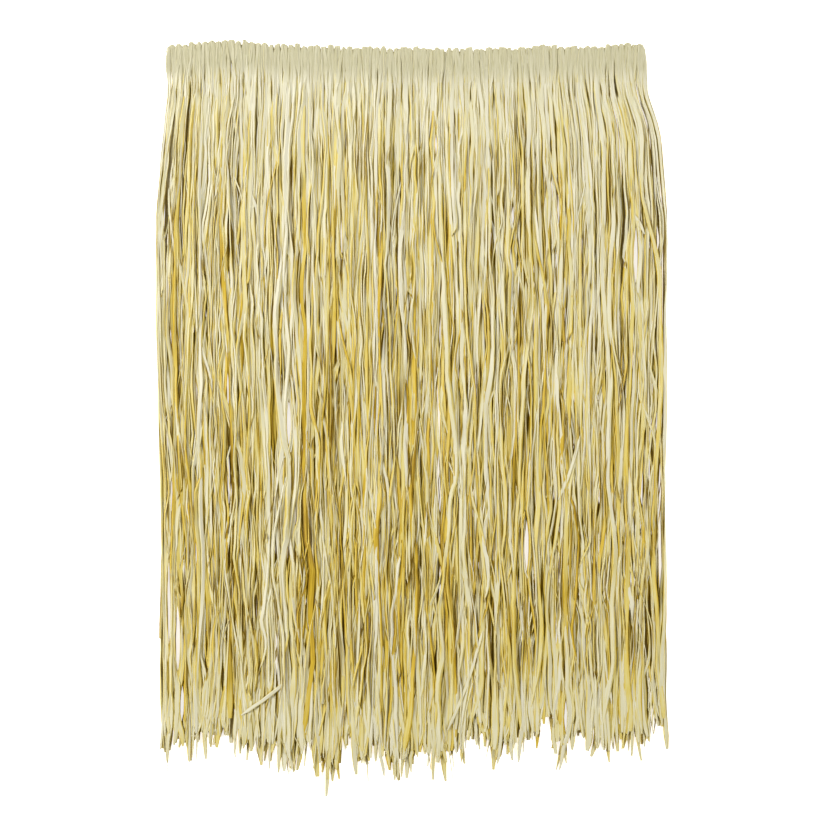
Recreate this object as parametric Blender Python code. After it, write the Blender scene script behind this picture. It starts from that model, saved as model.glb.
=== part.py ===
"""Raffia grass skirt, closed round the waist as a tube and laid flat.

The front half lies on the back half. Every strand is folded double over one waist cord, which leaves
a row of loops along the top; the strands are packed and sewn flat as a heading, and hang free below
it as a fringe with a ragged, pointed hem.

Metres. X runs across the skirt, +Y points from hem to waist, +Z is up from the surface it lies on.
A "drop" is a distance down the skirt, measured from the waist line towards the hem.
"""

import math
from typing import NamedTuple

import bmesh
import bpy
from mathutils import Vector

# Heading: the sewn band of folded strands, with its row of loops.
LOOP_COUNT = 72
LOOP_PITCH = 0.00704
LOOP_HEIGHT = 0.0040
LOOP_UNEVEN = 0.0011
STEPS_PER_LOOP = 3
HEADING_DROP = 0.0370
HEADING_THICKNESS = 0.0050
HEADING_WIDTH = LOOP_COUNT * LOOP_PITCH

# Waist cord: one ring inside the fold of both headings.
CORD_RADIUS = 0.0011
CORD_BELOW_NOTCH = 0.0030
CORD_TURN_CLEAR = 0.0005
CORD_TURN_STEPS = 6
CORD_SIDES = 8

# Fringe: locks side by side, six loops to a lock.
LOCK_COUNT = 12
LOCK_CROWN = (0.62, 1.0, 1.0, 0.62)
LOCK_SWAY = 0.0022
TIP_LENGTH = 0.030
TIP_THICKNESS = 0.0008
BACK_SHORTER = 0.008

# Room between neighbouring pieces.
SEAM_GAP = 0.0003


class WaistRow(NamedTuple):
    """How far the loops' row stands above the waist line at one place across the heading."""

    across: float
    rise: float


WAIST_ROWS = (
    WaistRow(across=-0.257, rise=0.0032),
    WaistRow(across=-0.214, rise=0.0072),
    WaistRow(across=-0.190, rise=0.0090),
    WaistRow(across=-0.151, rise=0.0053),
    WaistRow(across=-0.071, rise=0.0021),
    WaistRow(across=0.046, rise=0.0000),
    WaistRow(across=0.121, rise=0.0005),
    WaistRow(across=0.153, rise=0.0036),
    WaistRow(across=0.190, rise=0.0010),
    WaistRow(across=0.227, rise=0.0048),
    WaistRow(across=0.257, rise=0.0042),
)


class FringeRow(NamedTuple):
    """The laid skirt's two sides and the thickness of one half, at one drop."""

    drop: float
    left: float
    right: float
    thickness: float


FRINGE_ROWS = (
    FringeRow(drop=HEADING_DROP + SEAM_GAP, left=-0.2555, right=0.2580, thickness=0.0046),
    FringeRow(drop=0.098, left=-0.2600, right=0.2710, thickness=0.0054),
    FringeRow(drop=0.183, left=-0.2665, right=0.2780, thickness=0.0058),
    FringeRow(drop=0.300, left=-0.2650, right=0.2760, thickness=0.0058),
    FringeRow(drop=0.460, left=-0.2585, right=0.2735, thickness=0.0054),
    FringeRow(drop=0.590, left=-0.2585, right=0.2730, thickness=0.0048),
    FringeRow(drop=0.700, left=-0.2575, right=0.2740, thickness=0.0036),
    FringeRow(drop=0.800, left=-0.2560, right=0.2750, thickness=0.0017),
)


class LockTips(NamedTuple):
    """How far down the three points of one front lock reach."""

    left: float
    middle: float
    right: float


FRONT_TIPS = (
    LockTips(left=0.738, middle=0.761, right=0.755),
    LockTips(left=0.753, middle=0.757, right=0.774),
    LockTips(left=0.770, middle=0.763, right=0.774),
    LockTips(left=0.771, middle=0.767, right=0.795),
    LockTips(left=0.764, middle=0.776, right=0.776),
    LockTips(left=0.769, middle=0.777, right=0.775),
    LockTips(left=0.765, middle=0.770, right=0.769),
    LockTips(left=0.762, middle=0.750, right=0.761),
    LockTips(left=0.754, middle=0.755, right=0.751),
    LockTips(left=0.746, middle=0.764, right=0.751),
    LockTips(left=0.746, middle=0.764, right=0.762),
    LockTips(left=0.748, middle=0.760, right=0.737),
)


class Finish(NamedTuple):
    """A plain finish: linear colour, roughness and metallic value."""

    name: str
    colour: tuple
    roughness: float
    metallic: float


HEADING_FINISH = Finish("raffia_heading", (0.66, 0.60, 0.37), 0.62, 0.0)
FRONT_FINISH = Finish("raffia_front", (0.60, 0.51, 0.25), 0.58, 0.0)
BACK_FINISH = Finish("raffia_back", (0.42, 0.31, 0.10), 0.62, 0.0)
CORD_FINISH = Finish("waist_cord", (0.68, 0.62, 0.42), 0.80, 0.0)


def clear_scene():
    """Remove whatever objects the scene starts with."""
    for old in list(bpy.data.objects):
        bpy.data.objects.remove(old)


def material(finish):
    """The Principled material of a finish."""
    made = bpy.data.materials.new(finish.name)
    made.use_nodes = True
    shader = made.node_tree.nodes["Principled BSDF"]
    shader.inputs["Base Color"].default_value = (*finish.colour, 1.0)
    shader.inputs["Roughness"].default_value = finish.roughness
    shader.inputs["Metallic"].default_value = finish.metallic
    made.diffuse_color = (*finish.colour, 1.0)
    return made


def between(rows, key, at, column):
    """A column of a table at a place between its rows, on straight lines from row to row."""
    for low, high in zip(rows, rows[1:]):
        if getattr(high, key) >= at or high is rows[-1]:
            span = getattr(high, key) - getattr(low, key)
            share = (at - getattr(low, key)) / span
            return getattr(low, column) * (1 - share) + getattr(high, column) * share
    raise ValueError("a table needs two rows")


def waist_rise(across):
    """How far the loops' row stands above the waist line at a place across the skirt."""
    return between(WAIST_ROWS, "across", across, "rise")


def piece_from(shape, name, finish):
    """A named object of a finished bmesh, with its faces turned outwards."""
    bmesh.ops.recalc_face_normals(shape, faces=shape.faces)
    mesh = bpy.data.meshes.new(name)
    shape.to_mesh(mesh)
    shape.free()
    mesh.materials.append(material(finish))
    piece = bpy.data.objects.new(name, mesh)
    bpy.context.scene.collection.objects.link(piece)
    return piece


# ---------------------------------------------------------------- heading and cord


def heading_outline():
    """The heading's edge from above: a scallop for each loop, then the straight ends and sewn line."""
    half = HEADING_WIDTH / 2
    edge = []
    for step in range(LOOP_COUNT * STEPS_PER_LOOP + 1):
        across = -half + step * LOOP_PITCH / STEPS_PER_LOOP
        loop = step // STEPS_PER_LOOP
        bulge = abs(math.sin(math.pi * step / STEPS_PER_LOOP))
        uneven = LOOP_UNEVEN * (math.sin(2.4 * loop) + 0.6 * math.sin(5.3 * loop))
        stands = (LOOP_HEIGHT + uneven) * bulge
        edge.append((across, waist_rise(across) - LOOP_HEIGHT + stands))
    edge.append((half, -HEADING_DROP))
    edge.append((-half, -HEADING_DROP))
    return edge


def cord_run(height):
    """Points of the cord along one heading, left to right, at a height over the surface."""
    half = HEADING_WIDTH / 2
    places = [row.across for row in WAIST_ROWS if abs(row.across) < half]
    below = LOOP_HEIGHT + CORD_BELOW_NOTCH
    run = []
    for across in (-half - CORD_TURN_CLEAR, *places, half + CORD_TURN_CLEAR):
        inside = max(-half, min(half, across))
        run.append((across, waist_rise(inside) - below, height))
    return run


def tube(name, points, radius, closed, finish):
    """A round tube along a list of points that never runs along Y: a ring of corners at each point."""
    shape = bmesh.new()
    rings = []
    for index, point in enumerate(points):
        before = points[index - 1] if closed or index else point
        after = points[(index + 1) % len(points)] if closed or index + 1 < len(points) else point
        along = (Vector(after) - Vector(before)).normalized()
        outwards = along.cross(Vector((0.0, 1.0, 0.0))).normalized()
        sideways = outwards.cross(along)
        ring = []
        for side in range(CORD_SIDES):
            angle = 2 * math.pi * side / CORD_SIDES
            offset = outwards * math.cos(angle) + sideways * math.sin(angle)
            ring.append(shape.verts.new(Vector(point) + offset * radius))
        rings.append(ring)
    followers = rings[1:] + rings[:1] if closed else rings[1:]
    for ring, following in zip(rings, followers):
        for side in range(CORD_SIDES):
            beside = (side + 1) % CORD_SIDES
            shape.faces.new((ring[side], ring[beside], following[beside], following[side]))
    if not closed:
        shape.faces.new(rings[0])
        shape.faces.new(rings[-1])
    return piece_from(shape, name, finish)


def heading(name, underside):
    """One half's heading: its outline raised to its thickness, with a channel for the waist cord."""
    shape = bmesh.new()
    corners = [shape.verts.new((x, y, underside)) for x, y in heading_outline()]
    base = shape.faces.new(corners)
    raised = bmesh.ops.extrude_face_region(shape, geom=[base])
    for vertex in raised["geom"]:
        if isinstance(vertex, bmesh.types.BMVert):
            vertex.co.z += HEADING_THICKNESS
    piece = piece_from(shape, name, HEADING_FINISH)

    run = cord_run(underside + HEADING_THICKNESS / 2)
    (left, *left_end), (right, *right_end) = run[0], run[-1]
    run = [(left - HEADING_THICKNESS, *left_end), *run, (right + HEADING_THICKNESS, *right_end)]
    bore = CORD_RADIUS + SEAM_GAP
    cutter = tube(name + "_channel", run, bore, closed=False, finish=CORD_FINISH)
    cutter.hide_render = True
    cutter.display_type = "WIRE"
    cut = piece.modifiers.new("channel", "BOOLEAN")
    cut.operation = "DIFFERENCE"
    cut.solver = "EXACT"
    cut.object = cutter
    return piece, cutter


def cord_turn(start, end):
    """Points of the half turn that takes the cord from one heading round to the other."""
    middle = (start[2] + end[2]) / 2
    reach = (start[2] - end[2]) / 2
    outwards = 1 if start[0] > 0 else -1
    turn = []
    for step in range(1, CORD_TURN_STEPS):
        angle = math.pi * step / CORD_TURN_STEPS
        across = start[0] + outwards * abs(reach) * math.sin(angle)
        turn.append((across, start[1], middle + reach * math.cos(angle)))
    return turn


def waist_cord(front_height, back_height):
    """The ring of cord: along the front heading, round the side, and back along the other."""
    front = cord_run(front_height)
    back = cord_run(back_height)[::-1]
    ring = front + cord_turn(front[-1], back[0]) + back + cord_turn(back[-1], front[0])
    return tube("waist_cord", ring, CORD_RADIUS, closed=True, finish=CORD_FINISH)


# ---------------------------------------------------------------- fringe


def lock_side(side, drop):
    """Where the parting beside a lock runs, at a drop. Side 0 is the skirt's left edge."""
    left = between(FRINGE_ROWS, "drop", drop, "left")
    right = between(FRINGE_ROWS, "drop", drop, "right")
    across = left + (right - left) * side / LOCK_COUNT
    if 0 < side < LOCK_COUNT:
        across += LOCK_SWAY * math.sin(9.0 * drop + 2.1 * side)
    return across


def lock_section(number, drop, is_front):
    """A lock's section at a drop: for each column, its place across and its under and upper heights."""
    left = lock_side(number, drop) + SEAM_GAP / 2
    right = lock_side(number + 1, drop) - SEAM_GAP / 2
    thickness = between(FRINGE_ROWS, "drop", drop, "thickness")
    section = []
    for column, crown in enumerate(LOCK_CROWN):
        share = column / (len(LOCK_CROWN) - 1)
        height = thickness * crown
        under = height + SEAM_GAP if is_front else 0.0
        section.append((left + (right - left) * share, under, under + height))
    return section


def lock_tips(number, is_front):
    """How far down a lock's points reach. The back's are the front's in mirrored order, and shorter."""
    if is_front:
        return FRONT_TIPS[number]
    left, middle, right = FRONT_TIPS[LOCK_COUNT - 1 - number]
    return (right - BACK_SHORTER, middle - BACK_SHORTER, left - BACK_SHORTER)


def lock(name, number, is_front):
    """One lock of the fringe: a crowned strip that ends in three points."""
    tips = lock_tips(number, is_front)
    body_end = min(tips) - TIP_LENGTH
    drops = [row.drop for row in FRINGE_ROWS if row.drop < body_end] + [body_end]

    shape = bmesh.new()
    rows = []
    for drop in drops:
        section = lock_section(number, drop, is_front)
        under = [shape.verts.new((x, -drop, low)) for x, low, _ in section]
        upper = [shape.verts.new((x, -drop, high)) for x, _, high in section]
        rows.append((under, upper))

    last = len(LOCK_CROWN) - 1
    for (under, upper), (next_under, next_upper) in zip(rows, rows[1:]):
        for column in range(last):
            shape.faces.new((upper[column], upper[column + 1], next_upper[column + 1], next_upper[column]))
            shape.faces.new((under[column], next_under[column], next_under[column + 1], under[column + 1]))
        for side in (0, last):
            shape.faces.new((under[side], upper[side], next_upper[side], next_under[side]))

    under, upper = rows[0]
    for column in range(last):
        shape.faces.new((under[column], under[column + 1], upper[column + 1], upper[column]))

    under, upper = rows[-1]
    for column, drop in enumerate(tips):
        section = lock_section(number, drop, is_front)
        across = (section[column][0] + section[column + 1][0]) / 2
        low = min(section[column][1], section[column + 1][1])
        point_under = shape.verts.new((across, -drop, low))
        point_upper = shape.verts.new((across, -drop, low + TIP_THICKNESS))
        shape.faces.new((upper[column], upper[column + 1], point_upper))
        shape.faces.new((under[column], point_under, under[column + 1]))
        shape.faces.new((under[column], upper[column], point_upper, point_under))
        shape.faces.new((under[column + 1], point_under, point_upper, upper[column + 1]))

    return piece_from(shape, name, FRONT_FINISH if is_front else BACK_FINISH)


# ---------------------------------------------------------------- the whole skirt


def centre_on_origin(pieces, others):
    """Put the skirt's box on the origin, by an empty that holds every piece."""
    bpy.context.view_layer.update()
    corners = []
    for piece in pieces:
        corners += [piece.matrix_world @ Vector(corner) for corner in piece.bound_box]
    middle_x = (min(c.x for c in corners) + max(c.x for c in corners)) / 2
    middle_y = (min(c.y for c in corners) + max(c.y for c in corners)) / 2
    holder = bpy.data.objects.new("skirt", None)
    bpy.context.scene.collection.objects.link(holder)
    for piece in (*pieces, *others):
        piece.parent = holder
    holder.location = (-middle_x, -middle_y, 0.0)


def main():
    """Build the skirt's pieces and lay them at the origin."""
    clear_scene()
    front_underside = HEADING_THICKNESS + SEAM_GAP
    heading_back, back_cutter = heading("heading_back", 0.0)
    heading_front, front_cutter = heading("heading_front", front_underside)
    cord = waist_cord(front_underside + HEADING_THICKNESS / 2, HEADING_THICKNESS / 2)
    pieces = [heading_back, heading_front, cord]
    for number in range(LOCK_COUNT):
        pieces.append(lock(f"fringe_back_{number + 1:02d}", number, is_front=False))
        pieces.append(lock(f"fringe_front_{number + 1:02d}", number, is_front=True))
    centre_on_origin(pieces, (back_cutter, front_cutter))


main()
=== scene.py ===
"""Raffia grass skirt, closed round the waist as a tube and laid flat on a pale table.

Every strand is a dried strip of raffia palm leaf, folded double over one waist cord. The folds stand
in a row of loops along the top, the strands are packed and sewn flat as a heading, and hang free below
it as a fringe. The strands are laid one by one on a height map of what lies under them, from the
back's outer strands up to the front's, so each one lies on, beside and across its neighbours.

Metres. X runs across the skirt, +Y points from hem to waist, +Z is up from the table. A drop is a
distance down the skirt from the loops.
"""

import logging
import math
from dataclasses import dataclass, field, replace
from enum import Enum

import bpy
import numpy as np
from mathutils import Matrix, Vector


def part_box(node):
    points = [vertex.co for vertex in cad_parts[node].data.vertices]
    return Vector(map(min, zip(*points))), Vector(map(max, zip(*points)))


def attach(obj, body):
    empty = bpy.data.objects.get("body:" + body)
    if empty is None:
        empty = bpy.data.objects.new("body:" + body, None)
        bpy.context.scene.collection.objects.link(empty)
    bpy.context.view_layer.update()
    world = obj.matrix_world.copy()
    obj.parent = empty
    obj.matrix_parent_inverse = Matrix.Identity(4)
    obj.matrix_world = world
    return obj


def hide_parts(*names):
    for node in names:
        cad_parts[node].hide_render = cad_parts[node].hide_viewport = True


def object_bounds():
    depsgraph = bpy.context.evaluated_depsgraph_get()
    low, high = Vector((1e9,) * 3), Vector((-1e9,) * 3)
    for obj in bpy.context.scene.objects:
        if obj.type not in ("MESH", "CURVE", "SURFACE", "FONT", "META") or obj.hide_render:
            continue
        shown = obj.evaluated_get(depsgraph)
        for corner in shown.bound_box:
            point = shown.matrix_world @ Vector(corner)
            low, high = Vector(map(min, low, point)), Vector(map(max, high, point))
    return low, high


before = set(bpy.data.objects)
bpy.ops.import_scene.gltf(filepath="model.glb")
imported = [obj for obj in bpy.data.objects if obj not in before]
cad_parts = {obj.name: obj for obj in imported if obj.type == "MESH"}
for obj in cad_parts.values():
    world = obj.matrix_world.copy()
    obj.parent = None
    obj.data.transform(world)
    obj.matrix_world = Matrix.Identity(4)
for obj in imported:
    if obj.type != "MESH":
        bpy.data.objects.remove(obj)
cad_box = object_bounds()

Floats = np.ndarray
# From and to. How far apart a curve's turns are and how strong. A pattern's finer layers and their
# strength. A value's from and to, and the from and to it turns into.
Span = tuple[float, float]
Waver = tuple[float, float]
Layers = tuple[float, float]
Mapping = tuple[float, float, float, float]
log = logging.getLogger("grass_skirt")

MM = 0.001
BODY = "root"
# The shortest and longest straight run of a crinkled strand, as shares of their mean.
UNEVEN = (0.35, 1.65)


# ------------ small helpers


def linear(hex_colour: str) -> tuple[float, float, float, float]:
    """Turn an sRGB hex colour into linear RGBA.

    Args:
        hex_colour: Six hex digits, with or without a leading #.

    Returns:
        The linear colour with alpha 1.
    """
    digits = hex_colour.lstrip("#")
    parts = [int(digits[i : i + 2], 16) / 255 for i in (0, 2, 4)]
    turned = [p / 12.92 if p <= 0.04045 else ((p + 0.055) / 1.055) ** 2.4 for p in parts]
    return (turned[0], turned[1], turned[2], 1.0)


def add_node(tree: bpy.types.NodeTree, kind: str, settings: dict | None = None, **inputs) -> bpy.types.Node:
    """Add a shader node, set it up and link it.

    Args:
        tree: The node tree it goes into.
        kind: Blender's node type, without the "ShaderNode" in front.
        settings: Attributes of the node itself.
        **inputs: One per socket, by its name with _ for a space, or by number as i0, i1 and so on. An
            output socket is linked, and anything else is set as the socket's value.

    Returns:
        The new node.
    """
    node = tree.nodes.new("ShaderNode" + kind)
    for name, value in (settings or {}).items():
        setattr(node, name, value)
    for name, value in inputs.items():
        is_number = name[0] == "i" and name[1:].isdigit()
        socket = node.inputs[int(name[1:])] if is_number else node.inputs[name.replace("_", " ")]
        if isinstance(value, bpy.types.NodeSocket):
            tree.links.new(value, socket)
        else:
            socket.default_value = value
    return node


def smooth_step(values: Floats, start: float, end: float) -> Floats:
    """A soft 0 to 1 ramp of values between start and end."""
    share = np.clip((values - start) / (end - start), 0.0, 1.0)
    return share * share * (3 - 2 * share)


def wander(rng: np.random.Generator, along: Floats, spacing: float, amount: float) -> Floats:
    """A smooth random curve.

    Args:
        rng: The source of chance.
        along: Distances along the strand, rising from 0.
        spacing: The distance between its turns.
        amount: Its standard deviation.

    Returns:
        Its value at each distance.
    """
    place = along / spacing + rng.random()
    knots = rng.normal(0.0, amount, int(place[-1]) + 2)
    low = place.astype(int)
    share = place - low
    share = share * share * (3 - 2 * share)
    return knots[low] * (1 - share) + knots[low + 1] * share


def crinkle(rng: np.random.Generator, along: Floats, spacing: float, amount: float) -> Floats:
    """A random curve of straight runs with sharp turns, as dried leaf has, at uneven distances."""
    count = int(along[-1] / spacing * 2) + 4
    turns = np.cumsum(rng.uniform(*UNEVEN, count)) * spacing - spacing
    return np.interp(along, turns, rng.normal(0.0, amount, count))


def raised(share: Floats, least: float) -> Floats:
    """Squeeze a 0 to 1 share into least to 1."""
    return least + (1 - least) * share


def put_in_scene(name: str, data: bpy.types.ID) -> bpy.types.Object:
    """Make an object of a mesh, a light or a camera, and link it to the scene."""
    made = bpy.data.objects.new(name, data)
    bpy.context.scene.collection.objects.link(made)
    return made


def add_layer(mesh: bpy.types.Mesh, name: str, values: list[Floats]) -> None:
    """Store one number per vertex in a mesh, for its material to read."""
    layer = mesh.attributes.new(name, "FLOAT", "POINT")
    layer.data.foreach_set("value", np.concatenate(values).astype(np.float32))


# ------------ finishes


@dataclass(frozen=True)
class RaffiaFinish:
    """Dried raffia palm leaf, split into strips and sun-dried, undyed.

    The dry leaf skin is matte with a faint waxy shine along its grain. Its tone differs at random from
    strand to strand; the straw to amber laid into crevices, into edges tucked under neighbours and into
    the deep pile is painted shade. Fine fibres run down every strip.
    """

    name: str = "raffia_leaf_sun_dried"
    bleached: str = "#CECAB4"
    cream: str = "#CAC4A0"
    straw: str = "#CABA6A"
    amber: str = "#C1A22A"
    deep: str = "#8A6C0C"
    # The heading's grey-cream: partly painted shade of its strips packed on edge.
    pressed: str = "#ADA888"
    fleck: str = "#7E6220"
    ior: float = 1.47
    specular: float = 0.25
    fibre_width: float = 0.9 * MM
    fibre_length: float = 28 * MM
    fibre_depth: float = 0.10 * MM
    fibre_relief: float = 0.6
    fibre_layers: Layers = (2.0, 0.6)
    blotch_width: float = 240 * MM
    blotch_length: float = 60 * MM
    blotch_layers: Layers = (3.0, 0.55)
    painted_shade_reach: float = 6.0 * MM
    tone_stops: tuple[float, float, float] = (0.24, 0.48, 0.74)

    # What each pattern does to the leaf: the pattern's from and to, and what they turn into.
    fibre_roughness: Mapping = (0.20, 0.80, 0.48, 0.66)
    fibre_tone: Mapping = (0.30, 0.70, -0.16, 0.16)
    blotch_tone: Mapping = (0.30, 0.70, -0.12, 0.12)
    # The painted shade: the ambient occlusion's from and to, and the tone it adds.
    painted_shade_tone: Mapping = (0.15, 0.70, 0.58, 0.0)
    bruise_share: Mapping = (0.66, 0.80, 0.0, 0.55)
    wear_share: Mapping = (0.35, 0.65, 0.55, 1.0)

    def build(self) -> bpy.types.Material:
        """Build the material.

        Returns:
            A material that reads the strands' tone, strand and fibre coordinates.
        """
        material = bpy.data.materials.new(self.name)
        material.use_nodes = True
        tree = material.node_tree
        tree.nodes.clear()
        tone, pressed = (self.strand_value(tree, name) for name in ("tone", "pressed"))

        # One strip's fibres: long fine streaks. Real ones are some 0.4 mm apart, too fine to show with the
        # whole skirt in view, so they are drawn twice as coarse.
        fibres = self.pattern(tree, self.fibre_width, self.fibre_length, self.fibre_layers)
        # Slow changes of colour down a strip, where sun and damp reached it unevenly.
        blotches = self.pattern(tree, self.blotch_width, self.blotch_length, self.blotch_layers)
        # Painted shade: where ambient occlusion finds leaf tucked in between its neighbours, its tone moves
        # towards straw and amber.
        occlusion_shade = add_node(tree, "AmbientOcclusion", {"samples": 4}, Distance=self.painted_shade_reach).outputs["AO"]

        mapped = []
        for source, (low, high, to_low, to_high) in (
            (fibres, self.fibre_roughness),
            (blotches, self.bruise_share),
            (fibres, self.wear_share),
            (fibres, self.fibre_tone),
            (blotches, self.blotch_tone),
            (occlusion_shade, self.painted_shade_tone),
        ):
            limits = {"From_Min": low, "From_Max": high, "To_Min": to_low, "To_Max": to_high}
            mapped.append(add_node(tree, "MapRange", Value=source, **limits).outputs[0])
        roughness, bruise, wear, *shifts = mapped

        for shift in shifts:
            sum_up = {"operation": "ADD", "use_clamp": shift is shifts[-1]}
            tone = add_node(tree, "Math", sum_up, i0=tone, i1=shift).outputs[0]
        ramp = add_node(tree, "ValToRGB", i0=tone)
        stops = ramp.color_ramp.elements
        stops[0].position, stops[0].color = 0.0, linear(self.bleached)
        stops[1].position, stops[1].color = 1.0, linear(self.deep)
        for place, colour in zip(self.tone_stops, (self.cream, self.straw, self.amber)):
            stops.new(place).color = linear(colour)

        # Small brown flecks where the leaf was bruised. The sewn heading is greyer and darker: partly its
        # rubbed fibre streaks, partly painted shade of its strips packed on edge.
        rubbed_and_shaded = add_node(tree, "Math", {"operation": "MULTIPLY"}, i0=pressed, i1=wear).outputs[0]
        leaf = ramp.outputs["Color"]
        for share, colour in ((bruise, self.fleck), (rubbed_and_shaded, self.pressed)):
            mix = add_node(tree, "Mix", {"data_type": "RGBA"}, i0=share, i6=leaf, i7=linear(colour))
            leaf = mix.outputs[2]

        bump = add_node(tree, "Bump", Height=fibres, Distance=self.fibre_depth, Strength=self.fibre_relief)
        shader = add_node(
            tree,
            "BsdfPrincipled",
            Base_Color=leaf,
            Roughness=roughness,
            IOR=self.ior,
            Specular_IOR_Level=self.specular,
            Normal=bump.outputs["Normal"],
        )
        add_node(tree, "OutputMaterial", Surface=shader.outputs[0])
        return material

    @staticmethod
    def strand_value(tree: bpy.types.NodeTree, name: str) -> bpy.types.NodeSocket:
        """Add a node that reads one of the numbers stored in the strands' vertices."""
        return add_node(tree, "Attribute", {"attribute_name": name}).outputs["Fac"]

    def pattern(
        self, tree: bpy.types.NodeTree, width: float, length: float, layers: Layers
    ) -> bpy.types.NodeSocket:
        """Add a cloudy pattern that follows the strip and differs from strand to strand.

        Args:
            tree: The node tree it goes into.
            width: The width of its clouds across the strip.
            length: Their length down the strip.
            layers: How many finer layers it has, and how strong they are.

        Returns:
            The socket with its value, about 0.3 to 0.7.
        """
        fibre = add_node(tree, "UVMap", {"uv_map": "fibre"}).outputs["UV"]
        scale = (1 / width, 1 / length, 1.0)
        place = add_node(tree, "VectorMath", {"operation": "MULTIPLY"}, i0=fibre, i1=scale).outputs[0]
        noise = add_node(
            tree,
            "TexNoise",
            {"noise_dimensions": "4D"},
            Vector=place,
            W=self.strand_value(tree, "strand"),
            Scale=1.0,
            Detail=layers[0],
            Roughness=layers[1],
        )
        return noise.outputs["Fac"]


@dataclass(frozen=True)
class TableFinish:
    """Opal acrylic light table: matt white, and lit from below so that shadows on it stay pale."""

    name: str = "opal_acrylic_light_table"
    colour: str = "#F7F7F6"
    roughness: float = 0.9
    glow: float = 0.80

    def build(self) -> bpy.types.Material:
        """Build the material."""
        material = bpy.data.materials.new(self.name)
        material.use_nodes = True
        values = material.node_tree.nodes["Principled BSDF"].inputs
        values["Base Color"].default_value = values["Emission Color"].default_value = linear(self.colour)
        values["Roughness"].default_value = self.roughness
        values["Emission Strength"].default_value = self.glow
        return material


# ------------ the laid skirt's outline


class Half(Enum):
    """The two halves of the flattened tube. The value is the way from its middle to its outside."""

    FRONT = 1
    BACK = -1


def corners_of(node: str) -> Floats:
    """The corners of a CAD node's mesh, as an array of points."""
    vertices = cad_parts[node].data.vertices
    found = np.empty(len(vertices) * 3)
    vertices.foreach_get("co", found)
    return found.reshape(-1, 3)


@dataclass
class LaidOutline:
    """Where the skirt's edges lie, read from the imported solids."""

    locks: int = 12
    loops: int = 72
    tips_per_lock: int = 3
    fan_power: float = 2.5
    bundle_width: float = 9.5 * MM
    bundle_reach: float = 12.0 * MM
    bundle_margin: float = 30 * MM
    bundle_seed: int = 5
    widening: Span = (-42 * MM, 14 * MM)
    loop_share: float = 0.45
    same_place: float = 0.5 * MM

    def __post_init__(self) -> None:
        heading = corners_of("heading_front")
        self.left_end, self.sewn_line = heading[:, :2].min(0)
        self.right_end = heading[:, 0].max()
        self.middle = (self.left_end + self.right_end) / 2
        self.pitch = (self.right_end - self.left_end) / self.loops
        self.loop_across = self.left_end + self.pitch * (np.arange(self.loops) + 0.5)
        near = np.abs(heading[:, 0][None] - self.loop_across[:, None]) < self.pitch * self.loop_share
        self.loop_top = np.where(near, heading[:, 1][None], -1.0).max(1)
        self.fold_height = {half: self.middle_height(half) for half in Half}
        self.left_rows = self.edge_rows(f"fringe_front_{1:02d}", -1)
        self.right_rows = self.edge_rows(f"fringe_front_{self.locks:02d}", 1)
        tips = [self.tips_of(f"fringe_front_{n + 1:02d}") for n in range(self.locks)]
        self.tips = np.array(sorted(point for lock in tips for point in lock))
        # The outermost strands hang as far down as those beside them.
        self.tips[[0, -1], 1] = self.tips[[1, -2], 1]
        # The strands hang in bundles, each cut off at its own depth.
        first, last = self.left_end - self.bundle_margin, self.right_end + self.bundle_margin
        self.bundle_across = np.arange(first, last, self.bundle_width / 4)
        rng = np.random.default_rng(self.bundle_seed)
        self.bundle_cut = crinkle(rng, self.bundle_across - first, self.bundle_width, self.bundle_reach)

    def middle_height(self, half: Half) -> float:
        """The height of the middle of one half's heading over the table."""
        low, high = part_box("heading_front" if half is Half.FRONT else "heading_back")
        return (low.z + high.z) / 2

    def edge_rows(self, node: str, way: int) -> tuple[Floats, Floats]:
        """One edge of the fringe as rows of (place along, place across), from the hem up."""
        points = corners_of(node)
        levels = np.unique(np.round(points[:, 1] / self.same_place)) * self.same_place
        across = []
        for level in levels:
            row = points[np.abs(points[:, 1] - level) <= self.same_place]
            across.append(row[:, 0].max() if way > 0 else row[:, 0].min())
        keep = slice(self.tips_per_lock, None)
        return levels[keep], np.array(across)[keep]

    def tips_of(self, node: str) -> list[tuple[float, float]]:
        """The points that a lock of the fringe ends in, as (across, along)."""
        points = corners_of(node)
        found: list[tuple[float, float]] = []
        for x, y, _ in points[np.argsort(points[:, 1])]:
            if all(abs(x - seen) > self.same_place for seen, _ in found):
                found.append((float(x), float(y)))
            if len(found) == self.tips_per_lock:
                break
        return found

    def across(self, lane: float, along: Floats) -> Floats:
        """The places across of a lane from 0, the left edge, to 1, the right edge, at places along.

        Below the heading the skirt widens, the more so the nearer to its edges.
        """
        left = np.interp(along, *self.left_rows)
        right = np.interp(along, *self.right_rows)
        free = 1 - smooth_step(along, *(self.sewn_line + edge for edge in self.widening))
        from_middle = 2 * lane - 1
        spread = (left - self.left_end) * max(-from_middle, 0.0) ** self.fan_power
        spread = spread + (right - self.right_end) * max(from_middle, 0.0) ** self.fan_power
        return self.left_end + (self.right_end - self.left_end) * lane + spread * free

    def hem(self, across: float) -> float:
        """How far down the longest strands reach at a place across, bundle by bundle."""
        reach = np.interp(across, self.tips[:, 0], self.tips[:, 1])
        return float(reach + max(0.0, np.interp(across, self.bundle_across, self.bundle_cut)))

    def top(self, across: float) -> float:
        """How high the loops reach at a place across."""
        return float(np.interp(across, self.loop_across, self.loop_top))


# ------------ laying strands on each other


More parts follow.
